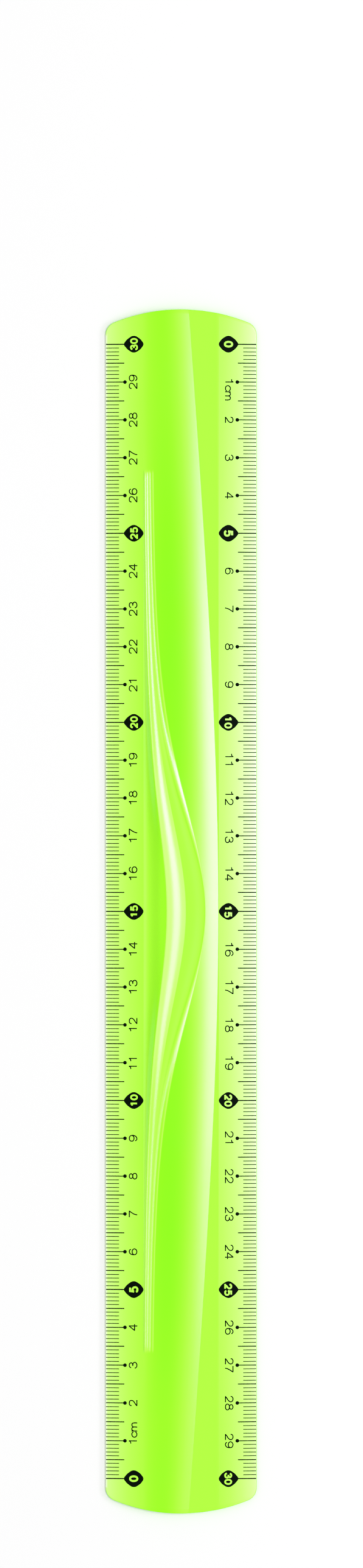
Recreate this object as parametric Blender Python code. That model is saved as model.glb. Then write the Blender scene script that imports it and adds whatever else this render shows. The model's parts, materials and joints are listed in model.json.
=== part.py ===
"""Flexible 30 cm ruler: one soft moulded blade that bends along its whole length.

The blade lies flat, face up. +Y runs along its length, +X across it, +Z up, and
the origin is the middle of its flat back. Its bending is shared out over one short
section per centimetre. Each section turns on its neighbour about a line across the
blade, and hangs from that neighbour by parenting, out from the middle section.
"""

import math

import bmesh
import bpy
from mathutils import Vector

# Plan of the blade
SCALE_LENGTH = 0.300  # from the first graduation to the last
END_MARGIN = 0.0092  # from an end graduation to the tip of the blade
BLADE_WIDTH = 0.040
END_ARC_RADIUS = 0.048
CORNER_RADIUS = 0.0035

# Cross-section: a bevel along each ruling edge and a crowned panel between them
EDGE_THICKNESS = 0.0008
SHOULDER_THICKNESS = 0.0016  # where a bevel meets the panel
BEVEL_WIDTH = 0.010
CROWN_RADIUS = 0.055

# Crease: the bowed line where the crown comes down to a level strip beside the right bevel
CREASE_INSET = 0.00015  # from the right shoulder, at mid-length
CREASE_BOW = 0.0064
CREASE_BOW_LENGTH = 0.080

# Strip beside the left bevel where the crown is held down, before it climbs to the wave
STRIP_WIDTH = 0.0011
STRIP_WIDEST_SHARE = 0.55  # of the room between the bevel and the wave
STRIP_SLOPE = 0.055
STRIP_REACH = 0.0045  # from the shoulder to where the crown is back at its height
STRIP_FADE = 0.010
CLIMB_POWER = 1.6

# Grip wave: a leaf that narrows into a pair of ribs beside the left bevel
WAVE_REACH = 0.117  # from mid-length to the end of the ribs
WAVE_END_TAPER = 0.0012
WAVE_INSET = 0.00005  # from the left shoulder to the ribs
WAVE_TO_CREASE = 0.00345  # at mid-length
WAVE_MID_WIDTH = 0.0104
WAVE_TIP_WIDTH = 0.0025
LEFT_EDGE_SPREAD = 0.0252
RIGHT_EDGE_SPREAD = 0.041

# Inside the leaf: a step up to the ledge, a ramp that steepens half-way, a web and a right-hand rib
STEP_MID_WIDTH = 0.00030
STEP_TIP_WIDTH = 0.00018
STEP_MID_HEIGHT = 0.00016
STEP_TIP_HEIGHT = 0.00010
RAMP_MID_SHARE = 0.495  # of the room between the ledge and the wave's right edge
RAMP_TIP_SHARE = 0.375
RAMP_MID_SLOPE = 0.075
RAMP_TIP_SLOPE = 0.03
RAMP_MID_SWELL = 0.09  # how much steeper the ramp gets
RAMP_TIP_SWELL = 0.115
RAMP_MID_SWELL_SHARE = 0.52  # where that is, as a share of the ramp
RAMP_TIP_SWELL_SHARE = 0.80
RAMP_MID_SWELL_WIDTH_SHARE = 0.72
RAMP_TIP_SWELL_WIDTH_SHARE = 0.80
WEB_SLOPE = 0.03
WEB_SWELL = 0.04
WEB_SWELL_SHARE = 0.68
WEB_SWELL_WIDTH_SHARE = 0.80
RIB_FALL_MID_SHARE = 0.005  # of the same room, from the top of the rib to the right edge
RIB_FALL_TIP_SHARE = 0.47
RIB_CLIMB_MID_SHARE = 0.03
RIB_CLIMB_TIP_SHARE = 0.12
RIB_RISE = 0.00005  # from the web to the top of the rib
RIB_SHOULDER_RISE = 0.00007
RIB_SLOPE = 0.165
RIB_MID_SLOPE_SHARE = 0.85
RIB_TIP_SLOPE_SHARE = 0.22
RIB_MID_SLOPE_WIDTH_SHARE = 1.20
RIB_TIP_SLOPE_WIDTH_SHARE = 0.50
LEAF_FROM_SHARE = 0.2  # shares of the right edge's swell between which ribs turn into the leaf
LEAF_TO_SHARE = 0.6
RAMP_SETTLED_SHARE = 0.6  # share of the left edge's swell from which the ramp is steepest half-way

# Bending
SECTION_PITCH = 0.010
BEND_HEIGHT = 0.0010  # the line across a section that neither stretches nor shortens
BEND_PER_SECTION = math.radians(11.0)
BEND_CLEARANCE = 0.0001

# How finely the moulding is drawn
LOFT_BAYS = 4
STRIP_STEPS = 2
CLIMB_STEPS = 6
STEP_STEPS = 3
RAMP_STEPS = 8
WEB_STEPS = 5
RIB_CLIMB_STEPS = 3
RIB_FALL_STEPS = 4
CROWN_STEPS = 7
END_ARC_STEPS = 20
CORNER_STEPS = 8
SHARP_ANGLE = math.radians(4.0)
CUT_OVERRUN = 0.001

PLASTIC_COLOUR = (0.37, 1.0, 0.03, 1.0)
PLASTIC_ROUGHNESS = 0.2

HALF_WIDTH = BLADE_WIDTH / 2
HALF_LENGTH = SCALE_LENGTH / 2 + END_MARGIN
LEFT_SHOULDER = -HALF_WIDTH + BEVEL_WIDTH
RIGHT_SHOULDER = HALF_WIDTH - BEVEL_WIDTH
BEVEL_SLOPE = (SHOULDER_THICKNESS - EDGE_THICKNESS) / BEVEL_WIDTH
CREASE_MID = RIGHT_SHOULDER - CREASE_INSET


def eased(share):
    """0 to 1 with a level start and finish."""
    share = max(0, min(1, share))
    return share * share * (3 - 2 * share)


def blended(tip, mid, share):
    return tip + (mid - tip) * share


def slide(across, centre, width):
    """Drop down a slope that swells to 1 over a width and goes back to 0."""
    share = max(0, min(1, (across - centre) / width + 1 / 2))
    return width * (share / 2 - math.sin(2 * math.pi * share) / (4 * math.pi))


def left_swell(along):
    """1 at mid-length, falling to 0 along the wave's left edge."""
    return 1 / math.cosh(along / LEFT_EDGE_SPREAD)


def right_swell(along):
    """1 at mid-length, falling to 0 along the wave's right edge."""
    return 1 / math.cosh(along / RIGHT_EDGE_SPREAD) ** 2


def shoulder_swell(along):
    """0 at mid-length, 1 where the leaf turns into the ribs, and 0 again along them."""
    return 4 * right_swell(along) * (1 - right_swell(along))


def leaf_share(along):
    """1 in the leaf, 0 along the ribs."""
    return eased((right_swell(along) - LEAF_FROM_SHARE) / (LEAF_TO_SHARE - LEAF_FROM_SHARE))


def crease_line(along):
    bow = math.hypot(1, along / CREASE_BOW_LENGTH) - 1
    return CREASE_MID - CREASE_BOW * bow


def wave_lines(along):
    """The wave's lines across the blade: left foot, ledge, ramp foot, rib foot, rib top, right edge."""
    right_mid = CREASE_MID - WAVE_TO_CREASE
    left_tip = LEFT_SHOULDER + WAVE_INSET
    left = blended(left_tip, right_mid - WAVE_MID_WIDTH, left_swell(along))
    right = blended(left_tip + WAVE_TIP_WIDTH, right_mid, right_swell(along))
    ledge = left + blended(STEP_TIP_WIDTH, STEP_MID_WIDTH, left_swell(along))
    room = right - ledge
    ramp_foot = ledge + room * blended(RAMP_TIP_SHARE, RAMP_MID_SHARE, left_swell(along))
    rib_top = right - room * blended(RIB_FALL_TIP_SHARE, RIB_FALL_MID_SHARE, right_swell(along))
    rib_foot = rib_top - room * blended(RIB_CLIMB_TIP_SHARE, RIB_CLIMB_MID_SHARE, right_swell(along))
    return left, ledge, ramp_foot, rib_foot, rib_top, right


def crown_height(across, along):
    """Height of the panel without the wave: crowned up to the crease, level beyond it."""
    crease = crease_line(along)
    if across >= crease:
        return SHOULDER_THICKNESS
    return SHOULDER_THICKNESS + (across - LEFT_SHOULDER) * (crease - across) / (2 * CROWN_RADIUS)


def leaf_drop(across, along):
    """How far the leaf has come down from its ledge, down the ramp and across the web."""
    left, ledge, ramp_foot, rib_foot, rib_top, right = wave_lines(along)
    swell = left_swell(along)
    ramp = ramp_foot - ledge
    web = rib_foot - ramp_foot
    drop = blended(RAMP_TIP_SLOPE, RAMP_MID_SLOPE, swell) * min(across - ledge, ramp)
    settled = eased(swell / RAMP_SETTLED_SHARE)
    swell_share = blended(RAMP_TIP_SWELL_SHARE, RAMP_MID_SWELL_SHARE, settled)
    width_share = blended(RAMP_TIP_SWELL_WIDTH_SHARE, RAMP_MID_SWELL_WIDTH_SHARE, swell)
    steepest = blended(RAMP_TIP_SWELL, RAMP_MID_SWELL, swell)
    drop += steepest * slide(across, ledge + swell_share * ramp, width_share * ramp)
    drop += WEB_SLOPE * max(0, across - ramp_foot)
    web_centre = ramp_foot + WEB_SWELL_SHARE * web
    return drop + WEB_SWELL * slide(across, web_centre, WEB_SWELL_WIDTH_SHARE * web)


def rib_drop(across, along):
    """How far the rib still has to come down to the wave's right edge."""
    rib_top, right = wave_lines(along)[4:]
    fall = right - rib_top
    share = blended(RIB_TIP_SLOPE_SHARE, RIB_MID_SLOPE_SHARE, leaf_share(along))
    width_share = blended(RIB_TIP_SLOPE_WIDTH_SHARE, RIB_MID_SLOPE_WIDTH_SHARE, leaf_share(along))
    centre = rib_top + share * fall
    steepest = RIB_SLOPE * (1 - right_swell(along) ** 3)
    return steepest * (slide(right, centre, width_share * fall) - slide(across, centre, width_share * fall))


def ledge_height(along):
    rib_foot, rib_top, right = wave_lines(along)[3:]
    rib_height = crown_height(right, along) + rib_drop(rib_top, along)
    web_end = rib_height - RIB_RISE - RIB_SHOULDER_RISE * shoulder_swell(along)
    return web_end + leaf_drop(rib_foot, along)


def step_height(along):
    return blended(STEP_TIP_HEIGHT, STEP_MID_HEIGHT, left_swell(along))


def wave_presence(along):
    """The wave sinks back into the crown at the ends of the ribs."""
    return eased((WAVE_REACH - abs(along)) / WAVE_END_TAPER)


def strip_width(along):
    """Width of the strip beside the left bevel, and how far it holds the crown down."""
    reach = min(STRIP_REACH, wave_lines(along)[0] - LEFT_SHOULDER)
    return min(STRIP_WIDTH, STRIP_WIDEST_SHARE * reach), reach


def panel_height(across, along):
    """The crown, held down in a strip beside the left bevel, from where it climbs to the wave."""
    height = crown_height(across, along)
    inside = across - LEFT_SHOULDER
    room = wave_lines(along)[0] - LEFT_SHOULDER
    if inside <= 0 or inside >= max(room, STRIP_REACH):
        return height
    width, reach = strip_width(along)
    strip = SHOULDER_THICKNESS - STRIP_SLOPE * inside
    held = blended(strip, height, eased((inside - width) / (reach - width)))
    if inside <= room:
        climb = ledge_height(along) - step_height(along) - crown_height(LEFT_SHOULDER + room, along)
        climb_share = max(0, inside - width) / (room - width)
        held += climb * climb_share**CLIMB_POWER * wave_presence(along)
    return blended(height, held, eased((WAVE_REACH - abs(along)) / STRIP_FADE))


def wave_height(across, along):
    """Height inside the wave."""
    left, ledge, ramp_foot, rib_foot, rib_top, right = wave_lines(along)
    ledge_top = ledge_height(along)
    rib_height = crown_height(right, along) + rib_drop(rib_top, along)
    if across < ledge:
        height = ledge_top - step_height(along) * (1 - eased((across - left) / (ledge - left)))
    elif across < rib_foot:
        height = ledge_top - leaf_drop(across, along)
    elif across < rib_top:
        web_end = ledge_top - leaf_drop(rib_foot, along)
        height = blended(web_end, rib_height, eased((across - rib_foot) / (rib_top - rib_foot)))
    else:
        height = crown_height(right, along) + rib_drop(across, along)
    return blended(panel_height(across, along), height, wave_presence(along))


def highest(along):
    crown_top = crown_height((LEFT_SHOULDER + crease_line(along)) / 2, along)
    return max(crown_top, ledge_height(along))


SECTIONS_EACH_WAY = round(SCALE_LENGTH / 2 / SECTION_PITCH)
HIGHEST = max(highest(n * SECTION_PITCH / 4) for n in range(4 * SECTIONS_EACH_WAY))
BEND_GAP = BEND_CLEARANCE + 2 * (HIGHEST - BEND_HEIGHT) * math.tan(BEND_PER_SECTION / 2)


def spaced(start, end, steps):
    """Places from start up to, and not counting, end."""
    return [blended(start, end, n / steps) for n in range(steps)]


def cross_section(along, spill):
    """Outline of the blade across its width: the back, then the face from left to right.

    spill carries the bevels on past the ruling edges, for a section that is trimmed to plan.
    """
    left, ledge, ramp_foot, rib_foot, rib_top, right = wave_lines(along)
    crease = crease_line(along)
    strip_end = LEFT_SHOULDER + strip_width(along)[0]
    panel = spaced(LEFT_SHOULDER, strip_end, STRIP_STEPS) + spaced(strip_end, left, CLIMB_STEPS)
    wave = spaced(left, ledge, STEP_STEPS) + spaced(ledge, ramp_foot, RAMP_STEPS)
    wave += spaced(ramp_foot, rib_foot, WEB_STEPS)
    wave += spaced(rib_foot, rib_top, RIB_CLIMB_STEPS) + spaced(rib_top, right, RIB_FALL_STEPS)
    crown = spaced(right, crease, CROWN_STEPS) + [crease]
    edge = HALF_WIDTH + spill
    edge_height = EDGE_THICKNESS - spill * BEVEL_SLOPE
    points = [(edge, 0), (-edge, 0), (-edge, edge_height)]
    points += [(across, panel_height(across, along)) for across in panel]
    points += [(across, wave_height(across, along)) for across in wave]
    points += [(across, crown_height(across, along)) for across in crown]
    points += [(RIGHT_SHOULDER, SHOULDER_THICKNESS), (edge, edge_height)]
    return [Vector((across, along, height)) for across, height in points]


def object_from(name, builder):
    bmesh.ops.recalc_face_normals(builder, faces=builder.faces)
    mesh = bpy.data.meshes.new(name)
    builder.to_mesh(mesh)
    builder.free()
    made = bpy.data.objects.new(name, mesh)
    bpy.context.collection.objects.link(made)
    return made


def lofted(name, stations, spill, origin):
    """A solid that runs through the cross-section at each station, about its own origin."""
    builder = bmesh.new()
    rings = []
    for along in stations:
        rings.append([builder.verts.new(p - origin) for p in cross_section(along, spill)])
    for ring, following in zip(rings, rings[1:]):
        for n in range(len(ring)):
            after = (n + 1) % len(ring)
            builder.faces.new((ring[n], ring[after], following[after], following[n]))
    builder.faces.new(rings[0])
    builder.faces.new(rings[-1])
    solid = object_from(name, builder)
    solid.data.shade_smooth()
    solid.data.set_sharp_from_angle(angle=SHARP_ANGLE)
    return solid


def arc(centre_x, centre_y, radius, start, end, steps):
    angles = [blended(start, end, n / steps) for n in range(steps + 1)]
    return [(centre_x + radius * math.cos(a), centre_y + radius * math.sin(a)) for a in angles]


def end_outline():
    """Right half of the far end in plan, from the ruling edge round to the tip."""
    arc_centre = HALF_LENGTH - END_ARC_RADIUS
    corner_x = HALF_WIDTH - CORNER_RADIUS
    corner_rise = math.sqrt((END_ARC_RADIUS - CORNER_RADIUS) ** 2 - corner_x**2)
    meeting = math.atan2(corner_rise, corner_x)
    corner = arc(corner_x, arc_centre + corner_rise, CORNER_RADIUS, 0, meeting, CORNER_STEPS)
    end = arc(0, arc_centre, END_ARC_RADIUS, meeting, math.pi / 2, END_ARC_STEPS)
    return corner + end[1:]


def plan_block():
    """The blade's plan as a tall block, which trims the two end sections."""
    right_half = end_outline()
    far_end = right_half + [(-x, y) for x, y in reversed(right_half[:-1])]
    outline = far_end + [(-x, -y) for x, y in far_end]
    builder = bmesh.new()
    base = builder.faces.new([builder.verts.new((x, y, -CUT_OVERRUN)) for x, y in outline])
    raised = bmesh.ops.extrude_face_region(builder, geom=[base])["geom"]
    raised_verts = [item for item in raised if isinstance(item, bmesh.types.BMVert)]
    lift = Vector((0, 0, HIGHEST + 2 * CUT_OVERRUN))
    bmesh.ops.translate(builder, vec=lift, verts=raised_verts)
    block = object_from("plan_block", builder)
    block.hide_render = True
    block.display_type = "WIRE"
    return block


def trim_to_plan(section, block):
    trim = section.modifiers.new("plan", "BOOLEAN")
    trim.operation = "INTERSECT"
    trim.object = block


def bend_line(number):
    """A point on the line that a section turns about: its joint with the section nearer the middle."""
    if number == 0:
        return Vector((0, 0, 0))
    inward = math.copysign(0.5, number)
    return Vector((0, (number - inward) * SECTION_PITCH, BEND_HEIGHT))


def section_stations(number):
    """Where the cross-sections of one section lie along the blade."""
    near = (number - 0.5) * SECTION_PITCH + BEND_GAP / 2
    far = (number + 0.5) * SECTION_PITCH - BEND_GAP / 2
    if number == -SECTIONS_EACH_WAY:
        near = -HALF_LENGTH - CUT_OVERRUN
    if number == SECTIONS_EACH_WAY:
        far = HALF_LENGTH + CUT_OVERRUN
    taper = [WAVE_REACH - WAVE_END_TAPER, WAVE_REACH - WAVE_END_TAPER / 2, WAVE_REACH]
    both_ends = taper + [-along for along in taper]
    inside = [along for along in both_ends if near < along < far]
    return sorted(spaced(near, far, LOFT_BAYS) + [far] + inside)


def lime_plastic():
    material = bpy.data.materials.new("lime_plastic")
    material.use_nodes = True
    shader = material.node_tree.nodes["Principled BSDF"]
    shader.inputs["Base Color"].default_value = PLASTIC_COLOUR
    shader.inputs["Roughness"].default_value = PLASTIC_ROUGHNESS
    shader.inputs["Metallic"].default_value = 0
    return material


def blade_section(number, block, material):
    """One centimetre of the blade, named after the graduation that it carries."""
    name = f"blade_cm_{number + SECTIONS_EACH_WAY:02d}"
    is_end = abs(number) == SECTIONS_EACH_WAY
    spill = CUT_OVERRUN if is_end else 0
    section = lofted(name, section_stations(number), spill, bend_line(number))
    section.location = bend_line(number)
    if is_end:
        trim_to_plan(section, block)
    section.data.materials.append(material)
    return section


def hang(section, number, neighbour, neighbour_number):
    section.parent = neighbour
    section.location = bend_line(number) - bend_line(neighbour_number)


def clear_scene():
    for old in list(bpy.data.objects):
        bpy.data.objects.remove(old, do_unlink=True)


def build():
    clear_scene()
    block = plan_block()
    material = lime_plastic()
    middle = blade_section(0, block, material)
    for side in (1, -1):
        neighbour = middle
        for step in range(1, SECTIONS_EACH_WAY + 1):
            section = blade_section(side * step, block, material)
            hang(section, side * step, neighbour, side * (step - 1))
            neighbour = section


build()
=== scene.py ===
import json
import math

import bpy
from mathutils import Matrix, Vector

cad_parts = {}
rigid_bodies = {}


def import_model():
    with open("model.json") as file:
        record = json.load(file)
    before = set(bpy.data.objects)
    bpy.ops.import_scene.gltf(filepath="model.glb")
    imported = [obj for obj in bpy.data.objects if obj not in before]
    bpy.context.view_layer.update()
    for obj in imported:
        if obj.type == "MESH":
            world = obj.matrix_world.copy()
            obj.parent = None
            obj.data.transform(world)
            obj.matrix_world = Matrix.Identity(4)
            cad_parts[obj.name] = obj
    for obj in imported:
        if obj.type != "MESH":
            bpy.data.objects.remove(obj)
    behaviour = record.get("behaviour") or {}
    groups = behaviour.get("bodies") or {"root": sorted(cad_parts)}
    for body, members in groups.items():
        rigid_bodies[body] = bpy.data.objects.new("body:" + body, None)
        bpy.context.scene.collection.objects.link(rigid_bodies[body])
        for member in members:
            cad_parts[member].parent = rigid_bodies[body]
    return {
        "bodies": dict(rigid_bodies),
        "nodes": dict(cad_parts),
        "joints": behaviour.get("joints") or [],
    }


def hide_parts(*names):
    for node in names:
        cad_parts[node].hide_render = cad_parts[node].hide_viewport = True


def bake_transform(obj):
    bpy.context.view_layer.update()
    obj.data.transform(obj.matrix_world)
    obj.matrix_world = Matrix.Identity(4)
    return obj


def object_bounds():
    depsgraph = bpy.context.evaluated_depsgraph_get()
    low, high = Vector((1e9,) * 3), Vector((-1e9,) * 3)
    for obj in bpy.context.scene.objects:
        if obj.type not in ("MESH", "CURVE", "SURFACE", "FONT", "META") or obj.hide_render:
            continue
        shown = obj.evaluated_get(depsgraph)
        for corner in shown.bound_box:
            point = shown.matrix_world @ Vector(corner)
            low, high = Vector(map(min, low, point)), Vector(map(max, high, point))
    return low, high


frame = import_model()
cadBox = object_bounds()
print("frame loaded:", len(frame["nodes"]), "sections")

mm = 0.001
tiny = 0.0001 * mm
halfWidth = cadBox[1].x
halfLength = cadBox[1].y
bodyNames = sorted(frame["bodies"])  # one body per graduation, from the 0 of the left scale
hingeLines = sorted(joint["pos_m"][1] for joint in frame["joints"])
pitch = hingeLines[1] - hingeLines[0]
stretchCount = len(bodyNames) - 1
scaleHalf = stretchCount * pitch / 2  # from mid-length to an end graduation

blade = {
    "edge": 0.8 * mm,  # thickness at a ruling edge
    "shoulder": 1.6 * mm,  # where a bevel meets the panel
    "bevelWidth": 10.0 * mm,
    "bevelBulge": 0.04 * mm,
    "crownRadius": 55.0 * mm,
    "creaseInset": 0.15 * mm,
    "creaseBow": 6.4 * mm,
    "creaseBowLength": 80.0 * mm,
    "endArc": 48.0 * mm,
    "corner": 3.5 * mm,
    "rim": 0.15 * mm,  # rounding of every outer edge
    "rimWall": 2.2 * mm,  # light crosses more plastic at the rim, which deepens its colour
    "paleEdge": 0.4 * mm,  # a painted highlight: the left edge is drawn pale instead, as if it caught the light
    "paleEdgeWidth": 0.3 * mm,
    "stripWidth": 1.1 * mm,  # beside the left bevel, where the crown is held down
    "stripSlope": 0.055,
    "stripReach": 4.5 * mm,
    "stripShare": 0.35,  # the most of that reach that the strip takes
    "stripFade": 10.0 * mm,
    "rimShape": [(0.7, 0.3), (1, 1)],  # how far out, and how far in from the face, in roundings
    "leftFacing": -0.99,  # a side that points further left than this is the pale edge, with its painted highlight
    "stretchRows": 10,
    "endRows": 8,
    "settleRounds": 3,
    "smoothUnder": 60.0,  # degrees
}

wave = {  # a pair gives the value towards the tips and the one towards mid-length
    "reach": 117.0 * mm,  # from mid-length to the end of the ribs
    "taper": 1.2 * mm,  # length over which the ribs sink into the panel at their ends
    "taperRows": 4,
    "inset": 0.05 * mm,  # from the left shoulder to the tips
    "toCrease": 3.45 * mm,  # from the leaf at mid-length
    "midWidth": 10.4 * mm,
    "tipWidth": 2.5 * mm,
    "leftSpread": 25.2 * mm,  # how far along the blade each edge's curve reaches
    "rightSpread": 41.0 * mm,
    "leafFrom": 0.2,  # of the right edge's swell: below it there are ribs, and past the span a leaf
    "leafSpan": 0.4,
    "armHold": 8.0 * mm,  # along the ribs the crown is held down over this width
    "armFrom": 30.0 * mm,
    "armSpan": 40.0 * mm,
    "armTo": 137.0 * mm,
    "armFade": 20.0 * mm,
    "flankMid": 0.30 * mm,
    "flankTip": 0.18 * mm,
    "flankHeight": (0.08 * mm, 0.09 * mm),  # the panel climbs the rest of the way to the ledge
    "climbPower": 1.15,
    "rampShare": (0.37, 0.495),  # of the room between the ledge and the right edge
    "rampSlope": (0.03, 0.085),  # all along the ramp, and the swell comes on top of it
    "rampSwell": (0.15, 0.09),
    "rampSwellAt": (0.80, 0.52),  # share of the ramp
    "rampSwellWidth": (0.80, 0.72),
    "rampSettled": 0.6,  # of the left edge's swell, past which the place stays
    "ledgeLine": 0.18,  # slope of the bright line that runs beside the ledge
    "ledgeLineAt": 0.18 * mm,
    "ledgeLineWidth": 0.36 * mm,
    "webSlope": 0.03,
    "webSwell": 0.04,
    "webSwellAt": 0.68,
    "webSwellWidth": 0.8,
    "ribFallShare": (0.50, 0.005),  # of the same room, from the rib's top to the right edge
    "ribClimbShare": (0.10, 0.03),
    "ribRise": 0.04 * mm,  # over the web beside it
    "ribShoulderRise": 0.04 * mm,  # more of it where the leaf turns into the ribs
    "ribSlope": 0.23,
    "ribFlattens": 3,  # power of the right edge's swell, towards mid-length
    "ribSlopeAt": (0.22, 0.75),
    "ribSlopeWidth": (0.50, 1.40),
    "bead": 0.042 * mm,  # along the right edge of the ribs
    "beadWidth": 0.7 * mm,
}

columnPlan = {  # how many columns the mesh has across each part of the face
    "bevel": 5,
    "strip": 5,
    "climb": 8,
    "flank": 5,
    "rampTop": 4,
    "ramp": 8,
    "web": 8,
    "ribClimb": 6,
    "ribFall": 6,
    "besideRib": 3,
    "crown": 10,
    "level": 2,
    "stripEnds": 1 / 3,  # of the way to the leaf
    "rampTopEnds": 1 / 4,  # of the way down the ramp
    "cornerCount": 6,
    "cornerStep": 15,  # degrees
}

leftShoulder = -halfWidth + blade["bevelWidth"]
rightShoulder = halfWidth - blade["bevelWidth"]
insetHalfWidth = halfWidth - blade["rim"]
arcCentre = halfLength - blade["endArc"]
cornerCentreX = halfWidth - blade["corner"]
cornerCentreY = arcCentre + math.sqrt((blade["endArc"] - blade["corner"]) ** 2 - cornerCentreX**2)
cornerMeets = math.atan2(cornerCentreY - arcCentre, cornerCentreX)


def mix(start, end, share):
    return start + (end - start) * share


def eased(share):
    share = min(1, max(0, share))
    return share * share * (3 - 2 * share)


def bump(across, centre, width):  # a rounded bead, 1 high
    away = abs(across - centre) / (width / 2)
    return (1 + math.cos(math.pi * away)) / 2 if away < 1 else 0


def leftSwell(along):
    return 1 / math.cosh(along / wave["leftSpread"])


def rightSwell(along):
    return 1 / math.cosh(along / wave["rightSpread"]) ** 2


def shoulderSwell(along):  # 1 where the leaf turns into the ribs
    return 4 * rightSwell(along) * (1 - rightSwell(along))


def presence(along):
    return eased((wave["reach"] - abs(along)) / wave["taper"])


def armShare(along):  # 1 along the ribs, where the crown is held down beside the left bevel
    starts = eased((abs(along) - wave["armFrom"]) / wave["armSpan"])
    return starts * eased((wave["armTo"] - abs(along)) / wave["armFade"])


def leafShare(along):  # 0 along the ribs and 1 in the leaf
    return eased((rightSwell(along) - wave["leafFrom"]) / wave["leafSpan"])


def creaseLine(along):
    bow = math.hypot(1, along / blade["creaseBowLength"]) - 1
    return rightShoulder - blade["creaseInset"] - blade["creaseBow"] * bow


def waveLines(along):  # left foot, ledge, ramp foot, rib foot, rib top and right edge
    leftTip = leftShoulder + wave["inset"]
    rightMid = rightShoulder - blade["creaseInset"] - wave["toCrease"]
    left = mix(leftTip, rightMid - wave["midWidth"], leftSwell(along))
    right = mix(leftTip + wave["tipWidth"], rightMid, rightSwell(along))
    ledge = left + mix(wave["flankTip"], wave["flankMid"], leftSwell(along))
    room = right - ledge
    rampFoot = ledge + room * mix(*wave["rampShare"], leftSwell(along))
    ribTop = right - room * mix(*wave["ribFallShare"], rightSwell(along))
    ribFoot = ribTop - room * mix(*wave["ribClimbShare"], rightSwell(along))
    return left, ledge, rampFoot, ribFoot, ribTop, right


def bevelHeight(across):
    share = (halfWidth - abs(across)) / blade["bevelWidth"]
    bulge = blade["bevelBulge"] * 4 * share * (1 - share)
    return mix(blade["edge"], blade["shoulder"], share) + bulge


def crownHeight(across, along):
    crease = creaseLine(along)
    if across >= crease:
        return blade["shoulder"]
    rise = (across - leftShoulder) * (crease - across) / (2 * blade["crownRadius"])
    held = eased((across - leftShoulder) / wave["armHold"])
    return blade["shoulder"] + rise * mix(1, held, armShare(along))


def slide(across, centre, width):  # drop down a slope that swells to 1 over a width, and back to 0
    share = min(1, max(0, (across - centre) / width + 0.5))
    return width * (share / 2 - math.sin(2 * math.pi * share) / (4 * math.pi))


def leafDrop(across, along):  # how far the leaf has come down from its ledge
    ledge, rampFoot, ribFoot = waveLines(along)[1:4]
    swell = leftSwell(along)
    ramp = rampFoot - ledge
    web = ribFoot - rampFoot
    centre = ledge + ramp * mix(*wave["rampSwellAt"], eased(swell / wave["rampSettled"]))
    drop = mix(*wave["rampSlope"], swell) * min(across - ledge, ramp)
    width = ramp * mix(*wave["rampSwellWidth"], swell)
    drop += mix(*wave["rampSwell"], swell) * slide(across, centre, width)
    line = ledge + wave["ledgeLineAt"]
    drop += wave["ledgeLine"] * (1 - swell) * slide(across, line, wave["ledgeLineWidth"])
    drop += wave["webSlope"] * max(0, across - rampFoot)
    centre = rampFoot + web * wave["webSwellAt"]
    return drop + wave["webSwell"] * slide(across, centre, web * wave["webSwellWidth"])


def ribDrop(across, along):  # how far the rib still has to come down to the right edge
    ribTop, right = waveLines(along)[4:]
    inLeaf = leafShare(along)
    centre = ribTop + (right - ribTop) * mix(*wave["ribSlopeAt"], inLeaf)
    width = (right - ribTop) * mix(*wave["ribSlopeWidth"], inLeaf)
    steepness = wave["ribSlope"] * (1 - rightSwell(along) ** wave["ribFlattens"])
    drop = steepness * (slide(right, centre, width) - slide(across, centre, width))
    beadCentre = right - wave["beadWidth"] / 2
    return drop + wave["bead"] * (1 - inLeaf) * bump(across, beadCentre, wave["beadWidth"])


def ledgeTop(along):
    ribFoot, ribTop, right = waveLines(along)[3:]
    ribHeight = crownHeight(right, along) + ribDrop(ribTop, along)
    webEnd = ribHeight - wave["ribRise"] - wave["ribShoulderRise"] * shoulderSwell(along)
    return webEnd + leafDrop(ribFoot, along)


def leafHeight(across, along):
    lines = waveLines(along)
    left, ledge = lines[:2]
    ribFoot, ribTop, right = lines[3:]
    ledgeHeight = ledgeTop(along)
    if across < ledge:
        rise = mix(*wave["flankHeight"], leftSwell(along))
        return ledgeHeight - rise * (1 - eased((across - left) / (ledge - left)))
    if across < ribFoot:
        return ledgeHeight - leafDrop(across, along)
    ribHeight = crownHeight(right, along) + ribDrop(ribTop, along)
    if across < ribTop:
        webEnd = ledgeHeight - leafDrop(ribFoot, along)
        return mix(webEnd, ribHeight, eased((across - ribFoot) / (ribTop - ribFoot)))
    return crownHeight(right, along) + ribDrop(across, along)


def panelHeight(across, along):  # the crown, with the strip beside the left bevel and the climb to the leaf
    height = crownHeight(across, along)
    inside = across - leftShoulder
    left = waveLines(along)[0]
    room = left - leftShoulder
    if not 0 < inside <= max(room, blade["stripReach"]):
        return height
    reach = min(blade["stripReach"], room)
    width = min(blade["stripWidth"], blade["stripShare"] * reach)
    strip = blade["shoulder"] - blade["stripSlope"] * inside
    held = mix(strip, height, eased((inside - width) / (reach - width)))
    if inside <= room:
        foot = ledgeTop(along) - mix(*wave["flankHeight"], leftSwell(along))
        share = max(0, inside - width) / (room - width)
        held += (foot - crownHeight(left, along)) * share ** wave["climbPower"] * presence(along)
    return mix(height, held, eased((wave["reach"] - abs(along)) / blade["stripFade"]))


def faceHeight(across, along):
    if abs(across) >= rightShoulder:
        return bevelHeight(across)
    height = panelHeight(across, along)
    lines = waveLines(along)
    if lines[0] <= across <= lines[-1]:
        height = mix(height, leafHeight(across, along), presence(along))
    return height


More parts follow.
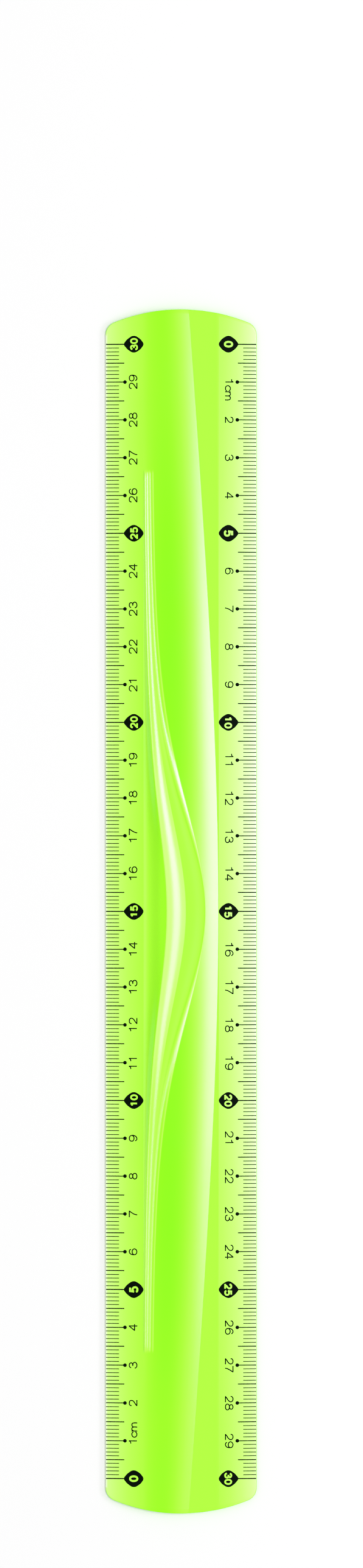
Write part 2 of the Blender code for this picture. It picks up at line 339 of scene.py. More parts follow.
look = {  # the colour, as the wall of plastic that would give it: a thicker one looks deeper; thinner values also paint sheen and thicker ones paint shade where the light falls
    "deepest": 0.84 * mm,  # more than where the bevels meet the panel
    "deepShare": 0.43,  # of the way from the left shoulder to the crease
    "paleSpan": 0.50,  # the share from there to where it is palest
    "palest": 0.42 * mm,  # less than there: the crown is paled towards the crease as a painted sheen
    "lessPale": 0.28 * mm,  # less of that painted sheen towards the ends
    "lessPaleFrom": 45.0 * mm,
    "lessPaleSpan": 75.0 * mm,
    "shallowMid": 0.39 * mm,  # less depth beside the leaf
    "shallowEnds": 0.34 * mm,  # less depth towards the ends
    "endsFrom": 80.0 * mm,
    "endsSpan": 60.0 * mm,
    "shoulderSheen": 0.25 * mm,  # a painted highlight: a paler line along the left shoulder
    "shoulderSheenWidth": 3.6 * mm,
    "shoulderSheenInset": 0.1 * mm,
    "leafWallsAndSheen": [  # mm along the ribs and in the leaf, from its left foot to its right edge; paler on the ramp and towards the right edge as a painted sheen, deeper at the left foot and mid-fall as painted shade
        (1.60, 1.90), (1.35, 1.05), (1.45, 1.15), (1.40, 1.70), (1.50, 1.60), (1.10, 1.80),
        (2.00, 1.10), (1.20, 0.75), (1.50, 0.80),
    ],
    "rampEnd": 0.96,  # share of the ramp after which the colour changes to the web's
    "fallMiddle": 0.55,  # shares of the rib's fall to the right edge
    "fallEnd": 0.8,
    "edge": 0.12 * mm,  # how fast the colour changes at the crease
    "levelEnd": 0.9,  # share of the level strip after which it changes to the bevel's
    "lit": 0.42 * mm,  # a painted sheen: the right bevel is drawn with a thinner wall, so paler
    "litAt": 20.0 * mm,
    "litSpread": 130.0 * mm,
}


# painted sheen on the right bevel, strongest near litAt along the blade
def litBevel(along):
    return look["lit"] * math.exp(-(((along - look["litAt"]) / look["litSpread"]) ** 2))


# the crown's tint, deepest at its thickest, then paled towards the crease as a painted sheen
def crownLook(across, along):
    crease = creaseLine(along)
    if across > crease - tiny:
        return blade["shoulder"]
    share = (across - leftShoulder) / (crease - leftShoulder)
    ends = eased((abs(along) - look["endsFrom"]) / look["endsSpan"])
    shallow = look["shallowMid"] * leftSwell(along) ** 2 + look["shallowEnds"] * ends
    deepest = look["deepest"] - shallow
    if share < look["deepShare"]:
        wallAndSheen = blade["shoulder"] + deepest * (1 - (1 - share / look["deepShare"]) ** 2)
        # painted highlight along the left shoulder
        shoulderSheen = bump(across, leftShoulder + look["shoulderSheenInset"], look["shoulderSheenWidth"]) * presence(along)
        return wallAndSheen - look["shoulderSheen"] * shoulderSheen
    fall = eased((share - look["deepShare"]) / look["paleSpan"])
    outer = eased((abs(along) - look["lessPaleFrom"]) / look["lessPaleSpan"])
    return blade["shoulder"] + mix(deepest, look["lessPale"] * outer - look["palest"], fall)


# the leaf's tint, with painted sheen on the ramp and the rib, and painted shade at its foot and mid-fall
def leafLook(across, along):
    left, ledge, rampFoot, ribFoot, ribTop, right = waveLines(along)
    fall = right - ribTop
    places = [left, ledge, mix(ledge, rampFoot, look["rampEnd"]), rampFoot, ribFoot, ribTop]
    places += [ribTop + look["fallMiddle"] * fall, ribTop + look["fallEnd"] * fall, right]
    wallsAndSheen = [mix(*pair, leafShare(along)) * mm for pair in look["leafWallsAndSheen"]]
    for n in range(len(places) - 1):
        if across <= places[n + 1]:
            share = (across - places[n]) / (places[n + 1] - places[n])
            return mix(wallsAndSheen[n], wallsAndSheen[n + 1], share)
    return wallsAndSheen[-1]


def wallLook(across, along):  # the plastic's thickness tint, with painted sheen and painted shade worked into it
    if abs(across) > rightShoulder - tiny:
        # painted highlight: a pale strip along the left edge
        atLeft = across < 0 and halfWidth + across < blade["paleEdgeWidth"]
        onSide = abs(along) < cornerCentreY
        wallAndSheen = blade["paleEdge"] if atLeft and onSide else bevelHeight(across)
        return wallAndSheen - litBevel(along) if across > 0 else wallAndSheen
    wallAndSheen = crownLook(across, along)
    lines = waveLines(along)
    if lines[0] + tiny < across < lines[-1] - tiny:
        return mix(wallAndSheen, leafLook(across, along), presence(along))
    return wallAndSheen


def spread(start, end, count):  # from start up to, and not counting, end
    return [mix(start, end, n / count) for n in range(count)]


def cornerColumns():  # from the long edge inwards, where the corner's arc turns
    inset = insetHalfWidth - cornerCentreX
    angles = [90 - columnPlan["cornerStep"] * n for n in range(columnPlan["cornerCount"])]
    return [cornerCentreX + inset * math.sin(math.radians(angle)) for angle in angles]


def faceColumns(along):  # where the mesh has a column, and which of them are crisp edges
    left, ledge, rampFoot, ribFoot, ribTop, right = waveLines(along)
    crease = creaseLine(along)
    stripEnd = mix(leftShoulder, left, columnPlan["stripEnds"])
    rampTop = mix(ledge, rampFoot, columnPlan["rampTopEnds"])
    rampEnd = mix(ledge, rampFoot, look["rampEnd"])
    besideRib = right + wave["beadWidth"] / 2
    levelEnd = mix(crease, rightShoulder, look["levelEnd"])
    corner = cornerColumns()
    runs = [
        [-across for across in corner],
        spread(-cornerCentreX, leftShoulder, columnPlan["bevel"]),
        spread(leftShoulder, stripEnd, columnPlan["strip"]),
        spread(stripEnd, left, columnPlan["climb"]),
        spread(left, ledge, columnPlan["flank"]),
        spread(ledge, rampTop, columnPlan["rampTop"]),
        spread(rampTop, rampEnd, columnPlan["ramp"]),
        [rampEnd],
        spread(rampFoot, ribFoot, columnPlan["web"]),
        spread(ribFoot, ribTop, columnPlan["ribClimb"]),
        spread(ribTop, right, columnPlan["ribFall"]),
        spread(right, besideRib, columnPlan["besideRib"]),
        spread(besideRib, crease - look["edge"], columnPlan["crown"]),
        [crease - look["edge"]],
        spread(crease, levelEnd, columnPlan["level"]),
        [levelEnd],
        spread(rightShoulder, cornerCentreX, columnPlan["bevel"]),
        [cornerCentreX],
        corner[::-1],
    ]
    places = [across for run in runs for across in run]
    crisp = [places.index(line) for line in (leftShoulder, rampFoot, crease, rightShoulder)]
    return places, crisp


def outlineReach(across):  # how far out the end outline, less its rounding, lies
    arcRadius = blade["endArc"] - blade["rim"]
    if abs(across) <= arcRadius * math.cos(cornerMeets):
        return arcCentre + math.sqrt(arcRadius**2 - across**2)
    inset = insetHalfWidth - cornerCentreX
    rise = math.sqrt(max(0, inset**2 - (abs(across) - cornerCentreX) ** 2))
    return cornerCentreY + rise


def outwards(across, along):  # direction out of the blade at its outline, or nothing at a cut
    if abs(across) > insetHalfWidth - tiny and abs(along) < cornerCentreY + tiny:
        return Vector((math.copysign(1, across), 0, 0))
    if abs(along) < scaleHalf + tiny:
        return Vector((0, 0, 0))
    centre = Vector((0, math.copysign(arcCentre, along), 0))
    if abs(across) > (blade["endArc"] - blade["rim"]) * math.cos(cornerMeets):
        centre.x = math.copysign(cornerCentreX, across)
        centre.y = math.copysign(cornerCentreY, along)
    return (Vector((across, along, 0)) - centre).normalized()


def selectOnly(piece):
    for other in bpy.context.selected_objects:
        other.select_set(False)
    piece.select_set(True)
    bpy.context.view_layer.objects.active = piece


def rowsOf(stretch):  # (place along the blade, share of the way out to the end outline)
    near = -scaleHalf + stretch * pitch
    count = blade["stretchRows"]
    rows = [(mix(near, near + pitch, n / count), 0) for n in range(count + 1)]
    for tip in (-wave["reach"], wave["reach"]):
        for n in range(1, wave["taperRows"]):
            along = tip - math.copysign(wave["taper"] * n / wave["taperRows"], tip)
            if near < along < near + pitch:
                rows.append((along, 0))
    rows.sort()
    ends = [(n + 1) / blade["endRows"] for n in range(blade["endRows"])]
    if stretch == 0:
        rows = [(-scaleHalf, share) for share in ends[::-1]] + rows
    if stretch == stretchCount - 1:
        rows += [(scaleHalf, share) for share in ends]
    return rows


def rowPlace(across, along, share):
    out = share * (outlineReach(across) - scaleHalf)
    return along + math.copysign(out, along) if share else along


def gridPlace(column, x, along, share):  # the columns keep to their lines out to the end outline
    y = rowPlace(x, along, share)
    for settling in range(blade["settleRounds"] if share else 0):
        x = faceColumns(y)[0][column]
        y = rowPlace(x, along, share)
    return x, y


def sidePlace(level, top):  # how far out, and how high, a ring between the two faces lies
    shape = blade["rimShape"]
    out, inwards = shape[min(level - 1, 2 * len(shape) - level)]
    inwards *= blade["rim"]
    return out * blade["rim"], top - inwards if level <= len(shape) else inwards


def bladeStretch(number, material):
    rows = rowsOf(number)
    places, crisp = faceColumns(0)
    width = len(places)
    bpy.ops.mesh.primitive_grid_add(x_subdivisions=width - 1, y_subdivisions=len(rows) - 1)
    piece = bpy.context.object
    piece.name = f"blade{number:02d}to{number + 1:02d}"
    mesh = piece.data
    for r, (along, share) in enumerate(rows):
        for c, across in enumerate(faceColumns(along)[0]):
            x, y = gridPlace(c, across, along, share)
            mesh.vertices[r * width + c].co = (x, y, faceHeight(x, y))
    for edge in mesh.edges:
        first, second = (index % width for index in edge.vertices)
        edge.use_edge_sharp = first == second and first in crisp
    selectOnly(piece)
    rings = 2 * len(blade["rimShape"])
    bpy.ops.object.mode_set(mode="EDIT")
    bpy.ops.mesh.select_all(action="SELECT")
    bpy.ops.mesh.duplicate()
    bpy.ops.transform.resize(value=(1, 1, 0), center_override=(0, 0, 0))
    bpy.ops.mesh.flip_normals()
    bpy.ops.mesh.select_all(action="SELECT")
    bpy.ops.mesh.region_to_loop()
    bpy.ops.mesh.bridge_edge_loops(number_cuts=rings, interpolation="LINEAR")
    bpy.ops.object.mode_set(mode="OBJECT")
    # the colour attribute: the thickness tint with painted sheen and painted shade in it
    wallAndSheen = mesh.attributes.new("wallAndSheen", "FLOAT", "POINT")
    for vertex in mesh.vertices:
        x, y, z = vertex.co
        top = faceHeight(x, y)
        wallAndSheen.data[vertex.index].value = wallLook(x, y) / mm
        if vertex.index >= 2 * width * len(rows):  # on the side, between the two faces
            away = outwards(x, y)
            out, height = sidePlace(round((rings + 1) * (1 - z / top)), top)
            vertex.co = Vector((x, y, height)) + away * out
            if away.length > 0 and away.x > blade["leftFacing"]:
                wallAndSheen.data[vertex.index].value = blade["rimWall"] / mm
    layPlan(mesh)
    bpy.ops.object.shade_smooth_by_angle(angle=math.radians(blade["smoothUnder"]))
    mesh.materials.append(material)
    return piece


def layPlan(mesh):  # a UV map in metres, seen from above, that stays on the blade
    plan = mesh.uv_layers.new(name="plan") if not mesh.uv_layers else mesh.uv_layers[0]
    plan.name = "plan"
    for loop in mesh.loops:
        plan.data[loop.index].uv = mesh.vertices[loop.vertex_index].co.xy


def bend(piece):  # only bakes the piece's placement into its mesh
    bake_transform(piece)


limePlastic = {
    "redLoss": 0.515,  # per mm of wall
    "blueLoss": 1.2,
    "blueLossMore": 0.5,  # per mm squared
    "thinnest": 0.1,  # mm
    "thickest": 2.8,
    "stops": 12,
    "unevenness": 0.06,  # mm of wall
    "unevenSize": 55.0,  # waves per metre
    "roughness": 0.19,
    "roughnessSwing": 0.03,
    "ior": 1.65,
    "sheenTint": (0.54, 1, 1, 1),
    "cloudDetail": 3,
}


def newMaterial(name):
    material = bpy.data.materials.new(name)
    material.use_nodes = True
    return material, material.node_tree.nodes["Principled BSDF"]


def fillColours(ramp):  # from the thinnest wall to the thickest, each colour as light crosses it
    last = limePlastic["stops"] - 1
    for n in range(limePlastic["stops"]):
        wallAndSheen = mix(limePlastic["thinnest"], limePlastic["thickest"], n / last)
        red = math.exp(-limePlastic["redLoss"] * wallAndSheen)
        blue = math.exp(-limePlastic["blueLoss"] * wallAndSheen - limePlastic["blueLossMore"] * wallAndSheen**2)
        stop = ramp.elements[0] if n == 0 else ramp.elements[-1]
        if 0 < n < last:
            stop = ramp.elements.new(n / last)
        stop.position = n / last
        stop.color = (red, 1, blue, 1)


def makeLimePlastic():
    material, shader = newMaterial("limePlastic")
    nodes, links = material.node_tree.nodes, material.node_tree.links
    wallAndSheen = nodes.new("ShaderNodeAttribute")
    wallAndSheen.attribute_name = "wallAndSheen"
    plan = nodes.new("ShaderNodeUVMap")
    plan.uv_map = "plan"
    clouds = nodes.new("ShaderNodeTexNoise")
    clouds.inputs["Scale"].default_value = limePlastic["unevenSize"]
    clouds.inputs["Detail"].default_value = limePlastic["cloudDetail"]
    links.new(plan.outputs["UV"], clouds.inputs["Vector"])
    uneven = nodes.new("ShaderNodeMapRange")
    uneven.inputs["To Min"].default_value = -limePlastic["unevenness"]
    uneven.inputs["To Max"].default_value = limePlastic["unevenness"]
    links.new(clouds.outputs["Fac"], uneven.inputs["Value"])
    thickness = nodes.new("ShaderNodeMath")
    thickness.operation = "ADD"
    links.new(wallAndSheen.outputs["Fac"], thickness.inputs[0])
    links.new(uneven.outputs["Result"], thickness.inputs[1])
    share = nodes.new("ShaderNodeMapRange")
    share.inputs["From Min"].default_value = limePlastic["thinnest"]
    share.inputs["From Max"].default_value = limePlastic["thickest"]
    links.new(thickness.outputs["Value"], share.inputs["Value"])
    colours = nodes.new("ShaderNodeValToRGB")
    fillColours(colours.color_ramp)
    links.new(share.outputs["Result"], colours.inputs["Fac"])
    links.new(colours.outputs["Color"], shader.inputs["Base Color"])
    gloss = nodes.new("ShaderNodeMapRange")
    gloss.inputs["To Min"].default_value = limePlastic["roughness"] - limePlastic["roughnessSwing"]
    gloss.inputs["To Max"].default_value = limePlastic["roughness"] + limePlastic["roughnessSwing"]
    links.new(clouds.outputs["Fac"], gloss.inputs["Value"])
    links.new(gloss.outputs["Result"], shader.inputs["Roughness"])
    shader.inputs["IOR"].default_value = limePlastic["ior"]
    shader.inputs["Specular Tint"].default_value = limePlastic["sheenTint"]
    return material


lime = makeLimePlastic()
for number in range(stretchCount):
    stretch = bladeStretch(number, lime)
    bend(stretch)
    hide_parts(bodyNames[number])
    if number == stretchCount - 1:
        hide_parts(bodyNames[number + 1])
print("blade made in", stretchCount, "stretches")

glyphs = {  # strokes through points across and up a numeral's height, looped where their ends meet
    "0": [[(1, 0.5), (0.5, 1), (0, 0.5), (0.5, 0), (1, 0.5)]],
    "1": [[(0.56, 0), (0.56, 1.06)], [(0.08, 0.81), (0.28, 0.82), (0.46, 0.89), (0.55, 1.04)]],
    "2": [
        [
            (0.03, 0.7), (0.15, 0.92), (0.5, 1), (0.85, 0.91), (0.96, 0.7), (0.8, 0.45), (0.33, 0.19),
            (0.02, 0),
        ],
        [(0, 0), (1.02, 0)],
    ],
    "bold2": [
        [
            (0.03, 0.7), (0.15, 0.92), (0.5, 1), (0.85, 0.91), (0.96, 0.7), (0.8, 0.45), (0.38, 0.2),
            (0.22, 0.04),
        ],
        [(-0.08, 0), (1.02, 0)],
    ],
    "3": [
        [(0.06, 0.76), (0.2, 0.94), (0.5, 1), (0.81, 0.92), (0.91, 0.76), (0.78, 0.59), (0.38, 0.54)],
        [(0.42, 0.54), (0.83, 0.48), (1, 0.28), (0.84, 0.07), (0.5, 0), (0.15, 0.07), (0, 0.28)],
    ],
    "4": [
        [(0.75, 1.06), (0.75, -0.06)],
        [(0.73, 1.02), (-0.02, 0.31)],
        [(-0.06, 0.29), (1.06, 0.29)],
    ],
    "5": [
        [(-0.02, 0.99), (0.93, 0.99)],
        [(0.2, 1), (0.07, 0.44)],
        [
            (0.17, 0.58), (0.52, 0.65), (0.88, 0.54), (1, 0.32), (0.86, 0.08), (0.48, 0), (0.14, 0.06),
            (0.03, 0.2),
        ],
    ],
    "6": [
        [(1, 0.32), (0.5, 0.63), (0, 0.32), (0.5, 0), (1, 0.32)],
        [(0.93, 0.79), (0.78, 0.95), (0.52, 1), (0.18, 0.87), (0.01, 0.56), (0, 0.32)],
    ],
    "7": [[(-0.05, 1), (1.05, 1)], [(1, 0.99), (0.63, 0.58), (0.43, 0.27), (0.34, -0.05)]],
    "8": [
        [(0.9, 0.77), (0.5, 1), (0.1, 0.77), (0.5, 0.54), (0.9, 0.77)],
        [(1, 0.27), (0.5, 0.54), (0, 0.27), (0.5, 0), (1, 0.27)],
    ],
    "9": [
        [(1, 0.68), (0.5, 1), (0, 0.68), (0.5, 0.37), (1, 0.68)],
        [(0.07, 0.21), (0.22, 0.05), (0.48, 0), (0.82, 0.13), (0.99, 0.44), (1, 0.68)],
    ],
    "c": [
        [
            (0.88, 0.47), (0.74, 0.61), (0.46, 0.66), (0.12, 0.55), (0, 0.33), (0.12, 0.1), (0.46, 0),
            (0.76, 0.06), (0.9, 0.2),
        ],
    ],
    "m": [
        [(0, -0.04), (0, 0.7)],
        [(0, 0.42), (0.12, 0.59), (0.36, 0.66), (0.6, 0.59), (0.69, 0.42), (0.69, -0.05)],
        [(0.69, 0.42), (0.82, 0.59), (1.06, 0.66), (1.3, 0.59), (1.38, 0.42), (1.38, -0.05)],
    ],
}

ink = {
    "depth": 0.045 * mm,  # most of it lies in the plastic, so that no gap shows
    "sink": 0.008 * mm,  # its middle lies this far below the face, which leaves 0.0145 mm standing
    "layer": 0.001 * mm,  # each stroke lies a little over the one before
    "edgeGap": 0.1 * mm,
    "fineTick": (0.19 * mm, 3.55 * mm),  # width and reach from the edge
    "midTick": (0.26 * mm, 4.95 * mm),
    "wholeTick": (0.24 * mm, 5.13 * mm),
    "badgeTick": (0.29 * mm, 5.1 * mm),
    "perWhole": 10,  # steps of the scale from one whole tick to the next
    "dot": 0.48 * mm,  # radius
    "dotSides": 20,
    "tickRows": 4,
    "strokeSteps": 5,  # pieces of a stroke from one of its points to the next
    "badge": [  # mm from the edge and to one side of the tick
        (4.85, 0), (5.3, 0.8), (6.05, 1.55), (7.42, 2.22), (8.75, 1.7), (9.6, 0.88), (10.03, 0),
    ],
    "badgeSteps": 4,
    "badgeEvery": 5,
    "cutter": 1.0 * mm,  # deep enough to cut a numeral right through its badge
}

numerals = {  # mm: size between stroke middles, step to the next numeral, and middle from the edge
    "plain": {
        "form": "plain",  # a glyph named after the form and the sign comes before the sign's own
        "stroke": 0.27,
        "wide": 1.54,
        "high": 2.0,
        "step": 2.07,
        "middle": 7.28,
        "unitStarts": (-0.8624, 0.98, 2.6),  # where the three signs of 1cm start along the scale
    },
    "bold": {"form": "bold", "stroke": 0.47, "wide": 1.13, "high": 1.62, "step": 1.68, "middle": 7.53},
    "boldSingle": {"form": "bold", "stroke": 0.54, "wide": 1.24, "high": 1.95, "step": 1.68, "middle": 7.45},
}


def solidStrokes(name, strokes, width, depth):  # flat ribbons along the strokes, as closed slabs
    curve = bpy.data.curves.new(name, "CURVE")
    curve.dimensions = "3D"
    curve.extrude = width / 2
    curve.resolution_u = ink["strokeSteps"]
    for layer, points in enumerate(strokes):
        looped = len(points) > 2 and points[0] == points[-1]
        places = points[:-1] if looped else points
        spline = curve.splines.new("BEZIER")
        spline.bezier_points.add(len(places) - 1)
        spline.use_cyclic_u = looped
        for knot, (across, up) in zip(spline.bezier_points, places):
            knot.co = (across, up, layer * ink["layer"])
            knot.handle_left_type = knot.handle_right_type = "AUTO"
            knot.tilt = math.pi / 2
    ribbon = bpy.data.objects.new(name, curve)
    bpy.context.collection.objects.link(ribbon)
    selectOnly(ribbon)
    bpy.ops.object.convert(target="MESH")
    thicken(bpy.context.object, depth)
    return bpy.context.object


def thicken(piece, depth):
    selectOnly(piece)
    bpy.ops.object.modifier_add(type="SOLIDIFY")
    piece.modifiers[0].thickness = depth
    piece.modifiers[0].offset = 0
    bpy.ops.object.modifier_apply(modifier=piece.modifiers[0].name)


def numeralStrokes(text, face):  # centred on the graduation, reading along the scale
    strokes = []
    for n, sign in enumerate(text):
        start = (n - len(text) / 2) * face["step"] + (face["step"] - face["wide"]) / 2
        if text == "1cm":
            start = face["unitStarts"][n]
        for points in glyphs.get(face["form"] + sign, glyphs[sign]):
            places = []
            for across, up in points:
                x = start + across * face["wide"]
                y = (up - 0.5) * face["high"] - face["middle"]
                places.append((x * mm, y * mm))
            strokes.append(places)
    return strokes


def tickStrip(place, size):  # a graduation line at a place along the scale
    width, reach = size
    bpy.ops.mesh.primitive_grid_add(x_subdivisions=1, y_subdivisions=ink["tickRows"])
    strip = bpy.context.object
    for vertex in strip.data.vertices:
        share = (1 - vertex.co.y) / 2
        vertex.co = (place + vertex.co.x * width / 2, -mix(ink["edgeGap"], reach, share), 0)
    thicken(strip, ink["depth"])
    return strip


def joined(pieces, name):
    selectOnly(pieces[0])
    for piece in pieces:
        piece.select_set(True)
    bpy.ops.object.join()
    whole = bpy.context.object
    whole.name = name
    return whole


def numeralSlab(label, face, depth):
    return solidStrokes("number", numeralStrokes(label, face), face["stroke"] * mm, depth)


def dotMark(label):
    line = tickStrip(0, ink["wholeTick"])
    bpy.ops.mesh.primitive_circle_add(
        vertices=ink["dotSides"], radius=ink["dot"], fill_type="NGON"
    )
    dot = bpy.context.object
    dot.data.transform(Matrix.Translation((0, -ink["wholeTick"][1], ink["layer"])))
    thicken(dot, ink["depth"])
    number = numeralSlab(label, numerals["plain"], ink["depth"])
    return joined([line, dot, number], "mark" + label)


def badgeSlab():  # the outline's points, mirrored about the tick and joined by one smooth curve
    left = [(-across, along) for along, across in ink["badge"]]
    right = [(across, along) for along, across in ink["badge"][-2:0:-1]]
    curve = bpy.data.curves.new("badge", "CURVE")
    curve.dimensions = "2D"
    curve.fill_mode = "BOTH"
    curve.extrude = ink["depth"] / 2
    curve.resolution_u = ink["badgeSteps"]
    spline = curve.splines.new("BEZIER")
    spline.bezier_points.add(len(left + right) - 1)
    spline.use_cyclic_u = True
    for knot, (across, along) in zip(spline.bezier_points, left + right):
        knot.co = (across * mm, -along * mm, 0)
        knot.handle_left_type = knot.handle_right_type = "AUTO"
    badge = bpy.data.objects.new("badge", curve)
    bpy.context.collection.objects.link(badge)
    selectOnly(badge)
    bpy.ops.object.convert(target="MESH")
    return bpy.context.object


def knockOut(slab, cutter):
    selectOnly(slab)
    bpy.ops.object.mode_set(mode="EDIT")
    bpy.ops.mesh.select_all(action="SELECT")
    bpy.ops.mesh.remove_doubles(threshold=tiny)
    bpy.ops.mesh.normals_make_consistent(inside=False)
    bpy.ops.object.mode_set(mode="OBJECT")
    bpy.ops.object.modifier_add(type="BOOLEAN")
    cut = slab.modifiers[0]
    cut.operation = "DIFFERENCE"
    cut.solver = "EXACT"
    cut.use_self = True
    cut.object = cutter
    bpy.ops.object.modifier_apply(modifier=cut.name)
    bpy.data.objects.remove(cutter, do_unlink=True)


def badgeMark(label):
    line = tickStrip(0, ink["badgeTick"])
    badge = badgeSlab()
    face = numerals["bold" if len(label) > 1 else "boldSingle"]
    knockOut(badge, numeralSlab(label, face, ink["cutter"]))
    badge.data.transform(Matrix.Translation((0, 0, ink["layer"])))
    return joined([line, badge], "mark" + label)


def halfOf(mark, side):  # the part of a mark on one side of its graduation
    half = mark.copy()
    half.data = mark.data.copy()
    bpy.context.collection.objects.link(half)
    selectOnly(half)
    bpy.ops.object.mode_set(mode="EDIT")
    bpy.ops.mesh.select_all(action="SELECT")
    bpy.ops.mesh.bisect(plane_co=(0, 0, 0), plane_no=(side, 0, 0), clear_inner=True)
    bpy.ops.mesh.select_all(action="SELECT")
    bpy.ops.mesh.fill_holes(sides=0)
    bpy.ops.object.mode_set(mode="OBJECT")
    return half


def printed(piece, along, turned):  # a copy moved from the scale's own plane onto the blade
    copy = piece.copy()
    copy.data = piece.data.copy()
    bpy.context.collection.objects.link(copy)
    place = Matrix.Translation((-halfWidth, along, -ink["sink"]))
    upright = Matrix.Rotation(math.pi / 2, 4, "Z")
    turn = Matrix.Rotation(math.pi if turned else 0, 4, "Z")
    copy.data.transform(turn @ place @ upright)
    return copy


blackInk = {
    "colour": (0.002, 0.006, 0.002, 1),
    "roughness": 0.5,
    "sheen": 0.03,
}


def makeBlackInk():
    material, shader = newMaterial("blackInk")
    shader.inputs["Base Color"].default_value = blackInk["colour"]
    shader.inputs["Roughness"].default_value = blackInk["roughness"]
    shader.inputs["Specular IOR Level"].default_value = blackInk["sheen"]
    return material


def centimetreTicks():  # the fine ticks between two whole ones
    ticks = []
    for n in range(1, ink["perWhole"]):
        size = ink["midTick"] if 2 * n == ink["perWhole"] else ink["fineTick"]
        ticks.append(tickStrip(n * pitch / ink["perWhole"], size))
    return joined(ticks, "centimetre")


def printStretch(number, centimetre, halves, material):  # both scales' marks between two sections
    near = -scaleHalf + number * pitch
    mirror = stretchCount - number  # the other scale's graduation at the near end
    pieces = [
        printed(centimetre, near, False),
        printed(halves[number][1], near, False),
        printed(halves[number + 1][0], near + pitch, False),
        printed(centimetre, -near - pitch, True),
        printed(halves[mirror][0], -near, True),
        printed(halves[mirror - 1][1], -near - pitch, True),
    ]
    printing = joined(pieces, f"ink{number:02d}to{number + 1:02d}")
    for vertex in printing.data.vertices:
        vertex.co.z += bevelHeight(vertex.co.x)
    bpy.ops.object.mode_set(mode="EDIT")
    bpy.ops.mesh.select_all(action="SELECT")
    bpy.ops.mesh.normals_make_consistent(inside=False)
    bpy.ops.object.mode_set(mode="OBJECT")
    layPlan(printing.data)
    printing.data.materials.append(material)
    bend(printing)


black = makeBlackInk()
centimetre = centimetreTicks()
patterns = [centimetre]
halves = []
for number in range(stretchCount + 1):
    label = "1cm" if number == 1 else str(number)
    mark = dotMark(label) if number % ink["badgeEvery"] else badgeMark(label)
    whole = number in (0, stretchCount)  # an end mark lies on one stretch only
    halves.append([mark, mark] if whole else [halfOf(mark, -1), halfOf(mark, 1)])
    patterns += [mark] if whole else [mark, *halves[-1]]
print("marks drawn:", len(halves))
for number in range(stretchCount):
    printStretch(number, centimetre, halves, black)
for pattern in patterns:
    bpy.data.objects.remove(pattern, do_unlink=True)
print("ink printed on", stretchCount, "stretches")

studio = {
    "cameraHeight": 1.5,
    "sensorWidth": 36.0,
    "clipEnd": 100.0,
    "viewLength": 414.7 * mm,  # what the long side of the picture takes in
    "viewCentre": (0.1 * mm, 33.7 * mm),
    "faceLevel": 1.2 * mm,
    "lampDistance": 2.2,
    "lampTilt": 20.5,  # degrees from overhead, towards the right
    "lampWide": 0.42,
    "lamps": [(0.03, 0.90, 6.8), (0.19, 0.58, 11.4)],  # place along, length and brightness
    "lowTilt": 66.0,
    "lowLamp": (0.0, 0.9, 8.5),  # rakes across from the right, for the shadow beside the left edge
    "skyBrightness": 0.74,
    "overhead": 0.024,  # what gloss mirrors from straight above
    "fadeFrom": 0.1,  # height, from 0 at the horizon to 1 overhead, where the mirrored sky gets darker
    "fadeTo": 0.6,
    "floorSize": 60.0,
    "floorShade": 0.88,
    "floorRoughness": 0.9,
    "floorNear": 0.27,  # the floor turns into a plain white backdrop from here
    "floorFar": 0.7,
}


def addCamera():
    x, y = studio["viewCentre"]
    bpy.ops.object.camera_add(location=(x, y, studio["cameraHeight"]), rotation=(0, 0, 0))
    camera = bpy.context.object
    camera.data.sensor_width = studio["sensorWidth"]
    distance = studio["cameraHeight"] - studio["faceLevel"]
    camera.data.lens = camera.data.sensor_width * distance / studio["viewLength"]
    camera.data.clip_end = studio["clipEnd"]
    bpy.context.scene.camera = camera


def addLamp(degrees, along, length, brightness):
    tilt = math.radians(degrees)
    place = Vector((math.sin(tilt), 0, math.cos(tilt))) * studio["lampDistance"]
    place.y = along
    bpy.ops.object.light_add(type="AREA", location=place, rotation=(0, tilt, 0))
    lamp = bpy.context.object
    lamp.data.shape = "RECTANGLE"
    lamp.data.size = studio["lampWide"]
    lamp.data.size_y = length
    lamp.data.energy = brightness * math.pi * studio["lampWide"] * length
    lamp.visible_camera = False


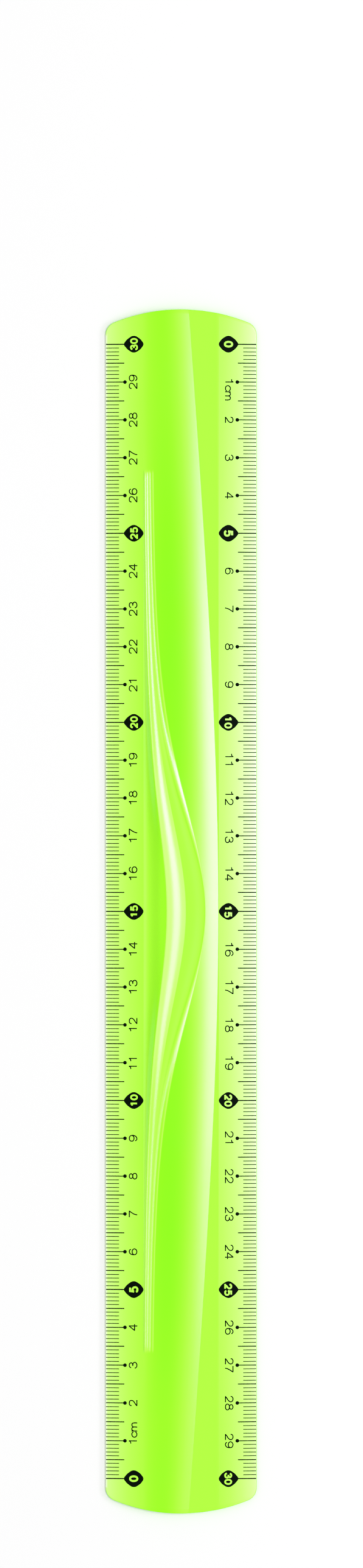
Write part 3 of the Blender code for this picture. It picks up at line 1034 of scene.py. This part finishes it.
def addSky():
    world = bpy.data.worlds.new("sky")
    bpy.context.scene.world = world
    world.use_nodes = True
    nodes, links = world.node_tree.nodes, world.node_tree.links
    light = nodes["Background"]
    light.inputs["Color"].default_value = (1, 1, 1, 1)
    light.inputs["Strength"].default_value = studio["skyBrightness"]
    seen = nodes.new("ShaderNodeBackground")
    seen.inputs["Color"].default_value = (1, 1, 1, 1)
    direction = nodes.new("ShaderNodeTexCoord")
    height = nodes.new("ShaderNodeSeparateXYZ")
    links.new(direction.outputs["Generated"], height.inputs["Vector"])
    fade = nodes.new("ShaderNodeMapRange")
    fade.interpolation_type = "SMOOTHSTEP"
    fade.inputs["From Min"].default_value = studio["fadeFrom"]
    fade.inputs["From Max"].default_value = studio["fadeTo"]
    fade.inputs["To Min"].default_value = 1
    fade.inputs["To Max"].default_value = studio["overhead"]
    links.new(height.outputs["Z"], fade.inputs["Value"])
    links.new(fade.outputs["Result"], seen.inputs["Strength"])
    path = nodes.new("ShaderNodeLightPath")
    direct = nodes.new("ShaderNodeMath")
    direct.operation = "MAXIMUM"
    links.new(path.outputs["Is Camera Ray"], direct.inputs[0])
    links.new(path.outputs["Is Glossy Ray"], direct.inputs[1])
    glassToo = nodes.new("ShaderNodeMath")
    glassToo.operation = "MAXIMUM"
    links.new(direct.outputs["Value"], glassToo.inputs[0])
    links.new(path.outputs["Is Transmission Ray"], glassToo.inputs[1])
    choice = nodes.new("ShaderNodeMixShader")
    links.new(glassToo.outputs["Value"], choice.inputs["Fac"])
    links.new(light.outputs["Background"], choice.inputs[1])
    links.new(seen.outputs["Background"], choice.inputs[2])
    links.new(choice.outputs["Shader"], nodes["World Output"].inputs["Surface"])


def addFloor():
    bpy.ops.mesh.primitive_plane_add(size=studio["floorSize"])
    floor = bpy.context.object
    floor.name = "floor"
    material, shader = newMaterial("whiteFloor")
    nodes, links = material.node_tree.nodes, material.node_tree.links
    shade = studio["floorShade"]
    shader.inputs["Base Color"].default_value = (shade, shade, shade, 1)
    shader.inputs["Roughness"].default_value = studio["floorRoughness"]
    shader.inputs["Specular IOR Level"].default_value = 0
    places = nodes.new("ShaderNodeTexCoord")
    distance = nodes.new("ShaderNodeVectorMath")
    distance.operation = "LENGTH"
    links.new(places.outputs["Object"], distance.inputs[0])
    far = nodes.new("ShaderNodeMapRange")
    far.interpolation_type = "SMOOTHSTEP"
    far.inputs["From Min"].default_value = studio["floorNear"]
    far.inputs["From Max"].default_value = studio["floorFar"]
    links.new(distance.outputs["Value"], far.inputs["Value"])
    path = nodes.new("ShaderNodeLightPath")
    both = nodes.new("ShaderNodeMath")
    both.operation = "MULTIPLY"
    links.new(far.outputs["Result"], both.inputs[0])
    links.new(path.outputs["Is Camera Ray"], both.inputs[1])
    white = nodes.new("ShaderNodeEmission")
    choice = nodes.new("ShaderNodeMixShader")
    links.new(both.outputs["Value"], choice.inputs["Fac"])
    links.new(shader.outputs["BSDF"], choice.inputs[1])
    links.new(white.outputs["Emission"], choice.inputs[2])
    links.new(choice.outputs["Shader"], nodes["Material Output"].inputs["Surface"])
    floor.data.materials.append(material)


addCamera()
for along, length, brightness in studio["lamps"]:
    addLamp(studio["lampTilt"], along, length, brightness)
addLamp(studio["lowTilt"], *studio["lowLamp"])
addSky()
addFloor()
bpy.context.scene.view_settings.view_transform = "Standard"
print("studio made")
